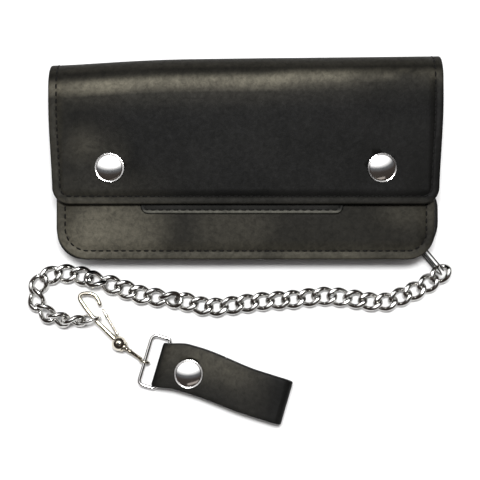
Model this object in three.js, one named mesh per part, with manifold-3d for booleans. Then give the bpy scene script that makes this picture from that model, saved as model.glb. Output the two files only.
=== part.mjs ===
// Chain wallet: a long leather flap wallet with two snaps, a curb chain on an oval split ring, and a
// trigger hook that carries a leather belt-loop fob.
// Millimetres, +Z up. The wallet lies on its back: origin at the middle of the back cover's outer face,
// +X along the wallet's length, +Y towards the fold. Everything rests on the plane z = 0.
import * as THREE from "three";
import { mergeVertices } from "three/addons/utils/BufferGeometryUtils.js";
import Module from "manifold-3d";

const wasm = await Module();
wasm.setup();

const { PI, sin, cos, max, min } = Math;
const deg = (angle) => (angle * PI) / 180;

// ---- driving dimensions -----------------------------------------------------------------------------
const LEATHER = 2.2; // wallet hide
const FIT_GAP = 0.3; // between pieces that touch
const WALLET_TOP_Y = 51; // outermost line of the fold
const WALLET_BOTTOM_Y = -51;
const BACK_HALF_WIDTH = 97.5;
const FLAP_HALF_WIDTH = 97;
const FRONT_HALF_WIDTH = 95.3;
const CORNER_RADIUS = 14;
const CHAIN_CORNER_RADIUS = 30; // the back cover's corner is cut back to let the ring through

const FRONT_SLOPE = deg(3.2); // the wallet grows thicker towards the fold
const FRONT_BASE_Z = 13.8; // underside of the front panel at the bottom edge
const FRONT_LENGTH = 84;
const CARD_SECTION_THICKNESS = 3.6;
const CARD_SECTION_HALF_WIDTH = 81;
const CARD_SECTION_TOP = 79;
const POCKET = { left: -52.9, right: 49.1, bottom: 22.4, top: 70, base: 0.2, thickness: 1.4, radius: 4 };
const FLAP_EDGE = 27; // the flap's free edge, measured up the front panel
const FLAP_GAP = 2.0; // front panel to flap, room for the snaps and the card pocket
const FLAP_CORNER_RADIUS = 8.5;
const DIVIDER = { bottom: 6.9, thickness: 1.8, halfWidth: 82, top: 31, tongueTop: -36 };
const HEM = { width: 136, depth: 5, inset: 0.5 }; // turned down under the divider's bottom seam
const SNAP_HALF_SPACING = 68;
const SNAP_ROW = 45.4; // measured up the front panel

const SNAP = {
  capRadius: 7.4,
  capHeight: 2.0,
  rimHeight: 0.8,
  holeRadius: 5.9, // through the leather, under the cap
  socketRadius: 5.6,
  boreRadius: 3.8,
  studRadius: 3.1,
  studFlange: 5.2,
  sheetMetal: 0.6,
};

const LINK = { wire: 1.8, innerLength: 8.7, outerWidth: 9.4, twist: deg(51), count: 33, steps: 16, sides: 6 };
const CHAIN_REST_Z = 0.1; // the lowest point of every link but the first
const FIRST_LINK_LIFT = 0.7; // the first link lies on the split ring's lower side
const ROLLED_LINKS = 5; // the last links turn onto their edges one after another

const RING_DIRECTION = new THREE.Vector2(0.64, -0.77).normalize(); // from the wallet's corner outwards
const CORNER_EDGE = new THREE.Vector2(91.3, -47.3); // where the ring crosses the wallet's corner
const SPLIT_RING = { length: 21.2, height: 12, wire: 1.3, width: 2.2, bottomZ: 0.2 };
const GROMMET = { inset: 4.8, bore: 2.0, tubeRadius: 2.45, flangeRadius: 3.7, flange: 0.5 };
const GUSSET = { bottom: -23, top: 30, thickness: 1.1, edge: 96, topEdge: 94, crease: 84.2 };

const HOOK_Z = 4;
const BARREL = new THREE.Vector3(-64.8, -94.3, HOOK_Z);
const BARREL_RADIUS = 3.8;
const BORE_DEPTH = 0.6; // past the barrel's middle
const HOOK_WIRE_RADIUS = 1.0;
const GATE_RADIUS = 0.8;
const GATE_BOSS = { radius: 0.95, height: 2.4 };
const GATE_PIVOT = new THREE.Vector3(-66.0, -89.3, HOOK_Z);
const GATE_TIP = new THREE.Vector3(-73.4, -76.6, HOOK_Z);

const FOB = { length: 69, width: 22.8, leather: 1.6, upperLeather: 1.8, angle: deg(-16.3), tab: 27 };
const FOB_BAR = new THREE.Vector3(-42.4, -105.5, 3.0); // middle of the ring bar inside the strap
const FOB_BOTTOM_Z = 0.2;
const FOB_UPPER_Z = 7.2;
const FOB_END = 2.8; // the upper leaf reaches this far past the ring bar
const FOB_SNAP = 14; // from the ring bar
const STRAP_RING = { depth: 9.6, width: 25.2, wireRadius: 0.95, corner: 1.0 };
const EYE = { offset: -0.8, loopRadius: 2.2, wireRadius: 0.75, neckRadius: 1.1 };

// ---- materials --------------------------------------------------------------------------------------
const material = (color, roughness, metalness) =>
  new THREE.MeshStandardMaterial({ color, roughness, metalness });
const hide = material(0x2b2b28, 0.55, 0);
const lining = material(0x1c1c1b, 0.8, 0);
const chrome = material(0xd9dadb, 0.15, 1);

// ---- geometry helpers -------------------------------------------------------------------------------
// A rectangle whose corners have their own radii: bottom left, bottom right, top right, top left.
function roundedOutline(left, bottom, right, top, [bl, br, tr, tl]) {
  const shape = new THREE.Shape();
  shape.moveTo(left + bl, bottom);
  shape.lineTo(right - br, bottom);
  if (br) shape.absarc(right - br, bottom + br, br, -PI / 2, 0, false);
  shape.lineTo(right, top - tr);
  if (tr) shape.absarc(right - tr, top - tr, tr, 0, PI / 2, false);
  shape.lineTo(left + tl, top);
  if (tl) shape.absarc(left + tl, top - tl, tl, PI / 2, PI, false);
  shape.lineTo(left, bottom + bl);
  if (bl) shape.absarc(left + bl, bottom + bl, bl, PI, 1.5 * PI, false);
  return shape;
}

function roundHole(x, y, radius) {
  return new THREE.Path().absarc(x, y, radius, 0, 2 * PI, true);
}

// A flat sheet: the outline in its XY plane, from z = base to base + thickness.
function sheet(shape, base, thickness, curveSegments = 8) {
  const geometry = new THREE.ExtrudeGeometry(shape, { depth: thickness, bevelEnabled: false, curveSegments });
  return geometry.translate(0, 0, base);
}

// An outline drawn in the plane of `across` and `up`, extruded along `along` and centred on it.
function extrudedAlong(shape, across, up, along, length, curveSegments = 12) {
  const geometry = new THREE.ExtrudeGeometry(shape, { depth: length, bevelEnabled: false, curveSegments });
  geometry.translate(0, 0, -length / 2);
  return geometry.applyMatrix4(new THREE.Matrix4().makeBasis(across, up, along));
}

// A band of constant thickness that follows an arc round (cx, cy).
function arcBand(cx, cy, outer, inner, from, to) {
  const shape = new THREE.Shape();
  shape.absarc(cx, cy, outer, from, to, false);
  shape.absarc(cx, cy, inner, to, from, true);
  return shape;
}

function lathe(profile, segments = 24) {
  const points = profile.map(([radius, z]) => new THREE.Vector2(radius, z));
  return new THREE.LatheGeometry(points, segments).rotateX(PI / 2);
}

function rod(points, radius, steps, sides = 8) {
  const section = new THREE.Shape().absarc(0, 0, radius, 0, 2 * PI, false);
  const path = points.length === 2 ? new THREE.LineCurve3(...points) : new THREE.CatmullRomCurve3(points);
  const options = { extrudePath: path, steps, curveSegments: sides, bevelEnabled: false };
  return new THREE.ExtrudeGeometry(section, options);
}

function toSolid(geometry) {
  const bare = geometry.index ? geometry.toNonIndexed() : geometry.clone();
  bare.deleteAttribute("normal");
  bare.deleteAttribute("uv");
  const merged = mergeVertices(bare, 1e-4);
  const vertProperties = merged.attributes.position.array;
  const triVerts = new Uint32Array(merged.index.array);
  return new wasm.Manifold(new wasm.Mesh({ numProp: 3, vertProperties, triVerts }));
}

function toGeometry(solid) {
  const { vertProperties, triVerts } = solid.getMesh();
  const geometry = new THREE.BufferGeometry();
  geometry.setAttribute("position", new THREE.BufferAttribute(new Float32Array(vertProperties), 3));
  geometry.setIndex([...triVerts]);
  return geometry.toNonIndexed();
}

const joined = (first, second) => toGeometry(toSolid(first).add(toSolid(second)));
const cut = (body, tool) => toGeometry(toSolid(body).subtract(toSolid(tool)));

const wallet = new THREE.Group();

function addTo(group, name, geometry, finish) {
  const mesh = new THREE.Mesh(geometry, finish);
  mesh.name = name;
  group.add(mesh);
  return mesh;
}

const X = new THREE.Vector3(1, 0, 0);
const Y = new THREE.Vector3(0, 1, 0);
const Z = new THREE.Vector3(0, 0, 1);

// ---- the tilted frame of the front section and the flap ---------------------------------------------
// In this group x is along the wallet, y runs up the front panel from the bottom edge, and z stands off
// from the front panel's underside.
const frontFrame = new THREE.Group();
frontFrame.position.set(0, WALLET_BOTTOM_Y, FRONT_BASE_Z);
frontFrame.rotation.x = FRONT_SLOPE;
wallet.add(frontFrame);

const FLAP_INNER = LEATHER + FLAP_GAP;
const FLAP_OUTER = FLAP_INNER + LEATHER;

// The fold is an arc tangent to the back cover's outer face and to the flap's outer face.
const walletHeight = WALLET_TOP_Y - WALLET_BOTTOM_Y;
const foldRadius =
  (FLAP_OUTER + walletHeight * sin(FRONT_SLOPE) + FRONT_BASE_Z * cos(FRONT_SLOPE)) /
  (1 + cos(FRONT_SLOPE) + sin(FRONT_SLOPE));
const foldY = WALLET_TOP_Y - foldRadius;
const foldStart =
  (foldY - WALLET_BOTTOM_Y) * cos(FRONT_SLOPE) + (foldRadius - FRONT_BASE_Z) * sin(FRONT_SLOPE);

// ---- leather of the back half -----------------------------------------------------------------------
function makeBackCover() {
  const top = foldY - FIT_GAP / 2;
  const radii = [CORNER_RADIUS, CHAIN_CORNER_RADIUS, 0, 0];
  const outline = roundedOutline(-BACK_HALF_WIDTH, WALLET_BOTTOM_Y, BACK_HALF_WIDTH, top, radii);
  addTo(wallet, "back_cover", sheet(outline, 0, LEATHER), hide);
}

function makeFoldSpine() {
  const end = FIT_GAP / 2 / foldRadius;
  const band = arcBand(
    foldY, foldRadius, foldRadius, foldRadius - LEATHER, -PI / 2 + end, PI / 2 + FRONT_SLOPE - end);
  addTo(wallet, "fold_spine", extrudedAlong(band, Y, Z, X, 2 * FLAP_HALF_WIDTH, 20), hide);
}

// Middle of the grommet: inside the corner, on the line that the split ring follows.
const grommetAt = CORNER_EDGE.clone().addScaledVector(RING_DIRECTION, -GROMMET.inset);

function makeBillDivider() {
  const { bottom, thickness, halfWidth, top, tongueTop } = DIVIDER;
  const outline = new THREE.Shape();
  outline.moveTo(-halfWidth + CORNER_RADIUS, WALLET_BOTTOM_Y);
  outline.lineTo(FRONT_HALF_WIDTH - CORNER_RADIUS, WALLET_BOTTOM_Y);
  outline.absarc(
    FRONT_HALF_WIDTH - CORNER_RADIUS, WALLET_BOTTOM_Y + CORNER_RADIUS, CORNER_RADIUS, -PI / 2, 0, false);
  outline.lineTo(FRONT_HALF_WIDTH, tongueTop);
  outline.quadraticCurveTo(halfWidth, tongueTop + 2, halfWidth, tongueTop + 12);
  outline.lineTo(halfWidth, top);
  outline.lineTo(-halfWidth, top);
  outline.lineTo(-halfWidth, WALLET_BOTTOM_Y + CORNER_RADIUS);
  outline.absarc(
    -halfWidth + CORNER_RADIUS, WALLET_BOTTOM_Y + CORNER_RADIUS, CORNER_RADIUS, PI, 1.5 * PI, false);
  outline.holes.push(roundHole(grommetAt.x, grommetAt.y, GROMMET.tubeRadius + FIT_GAP / 2));
  const panel = sheet(outline, bottom, thickness);
  // the hem holds the divider off the back cover
  const hemBottom = LEATHER + FIT_GAP;
  const hemTop = bottom + thickness;
  const hem = new THREE.BoxGeometry(HEM.width, HEM.depth, hemTop - hemBottom);
  hem.translate(0, WALLET_BOTTOM_Y + HEM.inset + HEM.depth / 2, (hemTop + hemBottom) / 2);
  addTo(wallet, "bill_divider", joined(panel, hem), hide);
}

function makeGrommet() {
  const { bore, tubeRadius, flangeRadius, flange } = GROMMET;
  const low = DIVIDER.bottom - FIT_GAP / 2;
  const high = DIVIDER.bottom + DIVIDER.thickness + FIT_GAP / 2;
  const profile = [
    [bore, low - flange], [flangeRadius, low - flange], [flangeRadius, low], [tubeRadius, low],
    [tubeRadius, high], [flangeRadius, high], [flangeRadius, high + flange], [bore, high + flange],
    [bore, low - flange],
  ];
  const grommet = addTo(wallet, "grommet", lathe(profile), chrome);
  grommet.position.set(grommetAt.x, grommetAt.y, 0);
}

// A side gusset: a folded strip from the back cover's edge to the front panel's edge, its crease inwards.
function makeGusset(name, side) {
  const { bottom, top, thickness, edge, topEdge, crease } = GUSSET;
  const flange = 4; // the width that is sewn to each panel
  const fold = 1.8 + thickness; // the leather's extent across the crease
  const section = (y) => {
    const low = LEATHER + FIT_GAP;
    const high = FRONT_BASE_Z + (y - WALLET_BOTTOM_Y) * sin(FRONT_SLOPE) - FIT_GAP - 0.1;
    const middle = (low + high) / 2;
    return [
      [edge, low], [edge, low + thickness], [crease + fold, middle], [topEdge, high - thickness],
      [topEdge, high], [topEdge - flange, high], [crease, middle], [edge - flange, low],
    ].map(([x, z]) => new THREE.Vector3(side * x, y, z));
  };
  addTo(wallet, name, loft([section(bottom), section(top)]), hide);
}

// Skins a row of sections that have the same number of points, and closes both ends.
function loft(sections) {
  const count = sections[0].length;
  const flat = sections[0].map((p) => new THREE.Vector2(p.x, p.z));
  const caps = THREE.ShapeUtils.triangulateShape(flat, []);
  if (THREE.ShapeUtils.isClockWise(flat)) for (const cap of caps) cap.reverse();
  const points = sections.flat();
  const faces = [];
  for (let row = 0; row + 1 < sections.length; row++) {
    for (let i = 0; i < count; i++) {
      const a = row * count + i;
      const b = row * count + ((i + 1) % count);
      faces.push([a, b, b + count], [a, b + count, a + count]);
    }
  }
  const last = (sections.length - 1) * count;
  for (const [a, b, c] of caps) faces.push([c, b, a], [last + a, last + b, last + c]);
  const positions = faces.flatMap((face) => face.flatMap((i) => points[i].toArray()));
  const geometry = new THREE.BufferGeometry();
  geometry.setAttribute("position", new THREE.Float32BufferAttribute(positions, 3));
  return facingOut(geometry);
}

function facingOut(geometry) {
  const p = geometry.attributes.position;
  const corner = (i) => new THREE.Vector3().fromBufferAttribute(p, i);
  let volume = 0;
  for (let i = 0; i < p.count; i += 3) volume += corner(i).dot(corner(i + 1).cross(corner(i + 2)));
  if (volume > 0) return geometry;
  for (let i = 0; i < p.count; i += 3) {
    const [b, c] = [corner(i + 1), corner(i + 2)];
    p.setXYZ(i + 1, c.x, c.y, c.z);
    p.setXYZ(i + 2, b.x, b.y, b.z);
  }
  return geometry;
}

// ---- the front section ------------------------------------------------------------------------------
function makeFrontPanel() {
  const radii = [CORNER_RADIUS, CORNER_RADIUS, 3, 3];
  const outline = roundedOutline(-FRONT_HALF_WIDTH, 0, FRONT_HALF_WIDTH, FRONT_LENGTH, radii);
  addTo(frontFrame, "front_panel", sheet(outline, 0, LEATHER), hide);
}

function makeCardSection() {
  const half = CARD_SECTION_HALF_WIDTH;
  const radii = [CORNER_RADIUS, CORNER_RADIUS, 2, 2];
  const outline = roundedOutline(-half, HEM.inset, half, CARD_SECTION_TOP, radii);
  const base = -FIT_GAP - CARD_SECTION_THICKNESS;
  addTo(frontFrame, "card_section", sheet(outline, base, CARD_SECTION_THICKNESS), lining);
}

function makeCardPocket() {
  const { left, right, bottom, top, base, thickness, radius } = POCKET;
  const outline = roundedOutline(left, bottom, right, top, [radius, radius, 1, 1]);
  addTo(frontFrame, "card_pocket", sheet(outline, LEATHER + base, thickness), hide);
}

function makeFlap() {
  const radii = [FLAP_CORNER_RADIUS, FLAP_CORNER_RADIUS, 0, 0];
  const top = foldStart - FIT_GAP / 2;
  const outline = roundedOutline(-FLAP_HALF_WIDTH, FLAP_EDGE, FLAP_HALF_WIDTH, top, radii);
  for (const side of [-1, 1]) {
    outline.holes.push(roundHole(side * SNAP_HALF_SPACING, SNAP_ROW, SNAP.holeRadius));
  }
  addTo(frontFrame, "flap_cover", sheet(outline, FLAP_INNER, LEATHER), hide);
}

// ---- snap fasteners ---------------------------------------------------------------------------------
// A low domed cap with a rolled rim, standing on z = base.
function snapCap(base) {
  const { capRadius, capHeight, rimHeight } = SNAP;
  const roll = rimHeight / 3;
  const top = base + capHeight;
  const dome = (fraction) => [capRadius * fraction, top - (capHeight - rimHeight) * fraction ** 2];
  return lathe([
    [0, base], [capRadius - roll, base], [capRadius, base + rimHeight / 2],
    [capRadius - roll, base + rimHeight], dome(0.8), dome(0.5), dome(0.25), [0, top],
  ]);
}

function snapSocket(bottom, top) {
  const { socketRadius, boreRadius, sheetMetal } = SNAP;
  const ceiling = top - sheetMetal;
  return lathe([
    [0, ceiling], [boreRadius, ceiling], [boreRadius, bottom], [socketRadius, bottom],
    [socketRadius, top], [0, top],
  ]);
}

function snapStud(base, top) {
  const { studRadius, studFlange, sheetMetal } = SNAP;
  const neck = studRadius - 0.4;
  const flangeTop = base + sheetMetal;
  return lathe([
    [0, base], [studFlange, base], [studFlange, flangeTop], [neck, flangeTop], [neck, flangeTop + 0.3],
    [studRadius, flangeTop + 0.7], [studRadius - 0.2, top - 0.4], [studRadius - 1, top], [0, top],
  ]);
}

function makeWalletSnaps() {
  for (const [name, side] of [["left", -1], ["right", 1]]) {
    const socketTop = FLAP_OUTER - 0.1;
    const socketBottom = LEATHER + 1.1;
    const pieces = {
      snap_cap: snapCap(FLAP_OUTER + 0.1),
      snap_socket: snapSocket(socketBottom, socketTop),
      snap_stud: snapStud(LEATHER + 0.15, socketTop - 1.1),
    };
    for (const [piece, geometry] of Object.entries(pieces)) {
      const mesh = addTo(frontFrame, `${piece}_${name}`, geometry, chrome);
      mesh.position.set(side * SNAP_HALF_SPACING, SNAP_ROW, 0);
    }
  }
}

// ---- split ring -------------------------------------------------------------------------------------
// An oval ring that stands on its edge: its long side points out of the corner, through the grommet.
function makeSplitRing() {
  const { length, height, wire, width, bottomZ } = SPLIT_RING;
  const radius = height / 2;
  const outline = roundedOutline(0, 0, length, height, [radius, radius, radius, radius]);
  const r = radius - wire;
  const inner = roundedOutline(wire, wire, length - wire, height - wire, [r, r, r, r]);
  outline.holes.push(new THREE.Path(inner.getPoints(10).reverse()));
  const along = new THREE.Vector3(RING_DIRECTION.x, RING_DIRECTION.y, 0);
  const geometry = extrudedAlong(outline, along, Z, new THREE.Vector3().crossVectors(along, Z), width, 10);
  const start = grommetAt.clone().addScaledVector(RING_DIRECTION, -wire);
  addTo(wallet, "split_ring", geometry.translate(start.x, start.y, bottomZ), chrome);
}

// ---- chain ------------------------------------------------------------------------------------------
// The line on which the links lie, from the split ring to the trigger hook.
const chainLine = new THREE.CatmullRomCurve3(
  [
    [100.1, -58.6], [93, -64], [79.5, -70.4], [70, -73.2], [57.4, -71.6], [41.2, -70], [24.5, -71.6],
    [7.4, -72.8], [-9.5, -75], [-19.5, -75.6], [-29, -73.2], [-39, -71.6], [-53.7, -69.3], [-65, -65.6],
    [-76, -62], [-88, -59], [-98.5, -58.7], [-106.1, -63.4], [-108, -70.8], [-103.4, -77.6],
    [-95.3, -81.1], [-88, -82.5], [-80.2, -81.7],
  ].map(([x, y]) => new THREE.Vector3(x, y, 0)),
  false,
  "centripetal",
);

// A curb link's wire: an oval twisted about its long axis so that its two ends lean opposite ways.
class LinkWire extends THREE.Curve {
  getPoint(t, target = new THREE.Vector3()) {
    const halfLength = (LINK.innerLength + LINK.wire) / 2;
    const halfWidth = (LINK.outerWidth - LINK.wire) / 2;
    const angle = 2 * PI * t;
    const lean = LINK.twist * cos(angle);
    const out = halfWidth * sin(angle);
    return target.set(halfLength * cos(angle), out * cos(lean), out * sin(lean));
  }
}

function makeChain() {
  const places = chainLine.getSpacedPoints(LINK.count - 1);
  const wire = new THREE.TubeGeometry(new LinkWire(), LINK.steps, LINK.wire / 2, LINK.sides, true);
  for (let i = 0; i < LINK.count; i++) {
    const before = places[max(i - 1, 0)];
    const after = places[min(i + 1, LINK.count - 1)];
    const heading = Math.atan2(after.y - before.y, after.x - before.x);
    const rolled = max(0, i - (LINK.count - 1 - ROLLED_LINKS)) / ROLLED_LINKS;
    const name = `link_${String(i + 1).padStart(2, "0")}`;
    const geometry = wire.clone().rotateX((-rolled * PI) / 2);
    geometry.computeBoundingBox();
    const link = addTo(wallet, name, geometry, chrome);
    link.position.copy(places[i]);
    link.position.z = CHAIN_REST_Z - geometry.boundingBox.min.z + (i === 0 ? FIRST_LINK_LIFT : 0);
    link.rotation.z = heading;
  }
}

// ---- trigger hook -----------------------------------------------------------------------------------
// Directions of the fob: along the strap away from the hook, and across it.
const strapAlong = new THREE.Vector3(cos(FOB.angle), sin(FOB.angle), 0);
const strapAcross = new THREE.Vector3(-sin(FOB.angle), cos(FOB.angle), 0);
const barAt = (z) => new THREE.Vector3(FOB_BAR.x, FOB_BAR.y, z);
const inFob = (along, across, z) =>
  barAt(z).addScaledVector(strapAlong, along).addScaledVector(strapAcross, across);

const eyeCentre = inFob(-STRAP_RING.depth, EYE.offset, FOB_BAR.z);
const swivelAxis = eyeCentre.clone().sub(BARREL).normalize();

function makeHookBody() {
  const armPoints = [
    [-66.4, -92.6], [-77.7, -81.6], [-83.9, -73.6], [-85.2, -70.7], [-84.2, -69.1], [-81.4, -68.6],
    [-78.4, -69.2], [-76.2, -71.2], [-74.4, -75.2],
  ].map(([x, y]) => new THREE.Vector3(x, y, HOOK_Z));
  const arm = rod(armPoints, HOOK_WIRE_RADIUS, 36);
  const barrel = new THREE.SphereGeometry(BARREL_RADIUS, 20, 14).translate(...BARREL.toArray());
  const boreEnd = BARREL.clone().addScaledVector(swivelAxis, BARREL_RADIUS + 1);
  const boreStart = BARREL.clone().addScaledVector(swivelAxis, -BORE_DEPTH);
  const bore = rod([boreStart, boreEnd], EYE.neckRadius + FIT_GAP, 1);
  addTo(wallet, "hook_body", cut(joined(barrel, arm), bore), chrome);
}

function makeHookGate() {
  const { radius, height } = GATE_BOSS;
  const lever = rod([GATE_PIVOT, GATE_TIP], GATE_RADIUS, 1);
  const boss = new THREE.CylinderGeometry(radius, radius, height, 12).rotateX(PI / 2);
  boss.translate(...GATE_PIVOT.toArray());
  addTo(wallet, "hook_gate", joined(lever, boss), chrome);
}

function makeSwivelEye() {
  const { loopRadius, wireRadius, neckRadius } = EYE;
  const loop = new THREE.TorusGeometry(loopRadius, wireRadius, 8, 20);
  const normal = new THREE.Vector3().crossVectors(strapAlong, Z);
  loop.applyMatrix4(new THREE.Matrix4().makeBasis(strapAlong, Z, normal));
  loop.translate(...eyeCentre.toArray());
  const neckEnd = eyeCentre.clone().addScaledVector(swivelAxis, -loopRadius + 0.2);
  const neck = rod([BARREL.clone(), neckEnd], neckRadius, 1);
  addTo(wallet, "swivel_eye", joined(loop, neck), chrome);
}

// ---- strap ring -------------------------------------------------------------------------------------
function makeStrapRing() {
  const { depth, width, wireRadius, corner } = STRAP_RING;
  const half = width / 2;
  const path = new THREE.CurvePath();
  const at = (along, across) => inFob(along, across, FOB_BAR.z);
  const corners = [[0, half], [-depth, half], [-depth, -half], [0, -half]];
  corners.forEach(([along, across], i) => {
    const here = at(along, across);
    const towards = (other) => {
      const target = at(...corners[(i + other + 4) % 4]);
      return here.clone().add(target.sub(here).setLength(corner));
    };
    const entry = towards(-1);
    if (path.curves.length) path.add(new THREE.LineCurve3(path.curves.at(-1).v2, entry));
    path.add(new THREE.QuadraticBezierCurve3(entry, here, towards(1)));
  });
  path.add(new THREE.LineCurve3(path.curves.at(-1).v2, path.curves[0].v0));
  addTo(wallet, "strap_ring", new THREE.TubeGeometry(path, 56, wireRadius, 8, true), chrome);
}

// ---- belt-loop fob ----------------------------------------------------------------------------------
const fobFrame = new THREE.Group();
fobFrame.position.set(FOB_BAR.x, FOB_BAR.y, 0);
fobFrame.rotation.z = FOB.angle;
wallet.add(fobFrame);

const upperTop = FOB_UPPER_Z + FOB.upperLeather;
const fobFoldRadius = (upperTop - FOB_BOTTOM_Z) / 2;
const fobFoldAt = FOB.length - FOB_END - fobFoldRadius;

// The strap's lower run: along the bottom, round the ring bar, and back as a short tab under the snap.
function makeFobLowerLeaf() {
  const bar = FOB_BAR.z;
  const outer = bar - FOB_BOTTOM_Z;
  const inner = outer - FOB.leather;
  const end = fobFoldAt - FIT_GAP / 2;
  const side = new THREE.Shape();
  side.moveTo(end, FOB_BOTTOM_Z);
  side.lineTo(end, FOB_BOTTOM_Z + FOB.leather);
  side.lineTo(0, FOB_BOTTOM_Z + FOB.leather);
  side.absarc(0, bar, inner, -PI / 2, -1.5 * PI, true);
  side.lineTo(FOB.tab, bar + inner);
  side.lineTo(FOB.tab, bar + outer);
  side.lineTo(0, bar + outer);
  side.absarc(0, bar, outer, -1.5 * PI, -PI / 2, false);
  addTo(fobFrame, "fob_lower_leaf", extrudedAlong(side, X, Z, Y.clone().negate(), FOB.width, 10), hide);
}

function makeFobFold() {
  const middle = (upperTop + FOB_BOTTOM_Z) / 2;
  const end = FIT_GAP / 2 / fobFoldRadius;
  const inner = fobFoldRadius - FOB.leather;
  const band = arcBand(fobFoldAt, middle, fobFoldRadius, inner, -PI / 2 + end, PI / 2 - end);
  addTo(fobFrame, "fob_fold", extrudedAlong(band, X, Z, Y.clone().negate(), FOB.width, 10), hide);
}

function makeFobUpperLeaf() {
  const half = FOB.width / 2;
  const outline = roundedOutline(-FOB_END, -half, fobFoldAt - FIT_GAP / 2, half, [0, 0, 0, 0]);
  outline.holes.push(roundHole(FOB_SNAP, 0, SNAP.holeRadius));
  addTo(fobFrame, "fob_upper_leaf", sheet(outline, FOB_UPPER_Z, FOB.upperLeather), hide);
}

function makeFobSnap() {
  const tabTop = 2 * FOB_BAR.z - FOB_BOTTOM_Z;
  const socketTop = upperTop - 0.1;
  const pieces = {
    fob_snap_cap: snapCap(upperTop + 0.1),
    fob_snap_socket: snapSocket(tabTop + 1.0, socketTop),
    fob_snap_stud: snapStud(tabTop + 0.1, socketTop - 1.0),
  };
  for (const [name, geometry] of Object.entries(pieces)) {
    addTo(fobFrame, name, geometry, chrome).position.set(FOB_SNAP, 0, 0);
  }
}

makeBackCover();
makeFoldSpine();
makeBillDivider();
makeGrommet();
makeGusset("gusset_left", -1);
makeGusset("gusset_right", 1);
makeFlap();
makeFrontPanel();
makeCardSection();
makeCardPocket();
makeWalletSnaps();
makeSplitRing();
makeChain();
makeHookBody();
makeHookGate();
makeSwivelEye();
makeStrapRing();
makeFobLowerLeaf();
makeFobFold();
makeFobUpperLeaf();
makeFobSnap();

export default wallet;
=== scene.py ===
"""Chain wallet on a pale table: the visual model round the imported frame.

Blender works in metres. Shapes here are written in the millimetres of the CAD model and scaled by MM when
they become meshes. A leather piece is drawn flat, with u along the wallet's length, v along the leather and
h through its thickness, and then laid along its path by a `place` function.
"""
from math import atan2, ceil, cos, hypot, pi, radians, sin, sqrt

import bmesh
import bpy
import numpy as np
from mathutils import Matrix, Vector, noise


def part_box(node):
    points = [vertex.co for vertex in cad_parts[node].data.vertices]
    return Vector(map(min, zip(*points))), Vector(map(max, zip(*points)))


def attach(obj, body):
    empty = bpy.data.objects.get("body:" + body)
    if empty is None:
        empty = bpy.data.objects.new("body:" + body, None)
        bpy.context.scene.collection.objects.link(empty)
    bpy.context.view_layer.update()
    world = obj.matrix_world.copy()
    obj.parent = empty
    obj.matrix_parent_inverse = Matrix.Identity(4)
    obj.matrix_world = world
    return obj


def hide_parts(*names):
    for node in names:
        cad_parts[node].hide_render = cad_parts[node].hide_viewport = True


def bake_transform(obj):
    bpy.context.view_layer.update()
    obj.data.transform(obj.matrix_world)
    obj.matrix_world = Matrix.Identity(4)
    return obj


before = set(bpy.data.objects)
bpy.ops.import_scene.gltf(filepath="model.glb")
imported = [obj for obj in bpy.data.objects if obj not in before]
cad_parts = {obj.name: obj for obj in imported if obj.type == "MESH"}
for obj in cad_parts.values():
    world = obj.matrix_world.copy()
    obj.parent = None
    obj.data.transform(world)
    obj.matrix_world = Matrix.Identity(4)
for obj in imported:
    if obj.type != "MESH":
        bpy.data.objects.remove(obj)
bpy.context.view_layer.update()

MM = 0.001
AXIS_Z = Vector((0, 0, 1))

# ---- dimensions in millimetres, most of them shared with the CAD model ------------------------------
LEATHER = 2.2
WALLET_BOTTOM_Y = -51.0
BACK_HALF_WIDTH = 97.5
FRONT_HALF_WIDTH = 95.3
CORNER_RADIUS = 14.0
CHAIN_CORNER_RADIUS = 30.0
FOLD_Y = 38.412
FOLD_RADIUS = 12.588
FRONT_SLOPE = radians(3.2)
FRONT_BASE_Z = 13.8
FRONT_LENGTH = 84.0
FLAP_EDGE = 27.0
FLAP_INNER = 4.2
FLAP_CORNER_RADIUS = 8.5
SNAP_HALF_SPACING = 68.0
SNAP_ROW = 45.4
SNAP_HOLE = 5.9
SNAP_CAP_RADIUS = 7.4
SNAP_DIMPLE = 0.45
POCKET = {"left": -52.9, "right": 49.1, "bottom": 22.4, "top": 70.0, "base": 2.4, "thickness": 1.4}
DIVIDER = {
    "bottom": 6.9, "thickness": 1.8, "half_width": 82.0, "top": 31.0, "tongue_top": -24.0,
    "tongue_radius": 19.0,
}
TONGUE_HALF_WIDTH = 98.3  # its edge shows beside the front panel
HEM = {"half_width": 68.0, "low": 0.5, "high": 5.5, "middle": 4.65, "thickness": 4.2}
GROMMET = (88.23, -43.61)
GROMMET_HOLE = 2.6
CARD_HALF_WIDTH = 81.0
CARD_LEATHER = 1.15
BARREL = Vector((-64.8, -94.3, 4.0))
HOOK_Z = 4.0
GATE_PIVOT = Vector((-66.0, -89.3, HOOK_Z))
GATE_TIP = Vector((-73.4, -76.6, HOOK_Z))
FOB_ANGLE = radians(-16.3)
FOB_BAR = Vector((-42.4, -105.5, 3.0))
FOB_HALF_WIDTH = 11.4
FOB_LEATHER = 1.6
FOB_END = 2.8
FOB_TAB = 27.0
FOB_SNAP = 14.0
FOB_TOP_Z = 9.0
FOB_BOTTOM_Z = 0.2
FOB_FOLD_AT = 61.8
STRAP_RING = {"depth": 9.6, "half_width": 12.6, "wire": 0.95, "flatness": 0.95, "extra": 1.2}
EYE = {"offset": -0.8, "loop": 2.2, "wire": 0.75}
SPLIT_RING = {
    "length": 21.2, "height": 12.0, "wire": 1.3, "bottom": 0.2, "direction": (0.64, -0.77, 0),
    "turns": 1.95, "side_step": 0.85, "half_strip": 0.36,
}
LINK_COUNT = 33
ROLLED_LINKS = 5


def smooth(t):
    t = min(max(t, 0.0), 1.0)
    return t * t * (3 - 2 * t)


def between(low, high, value):
    return smooth((value - low) / (high - low))


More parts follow.
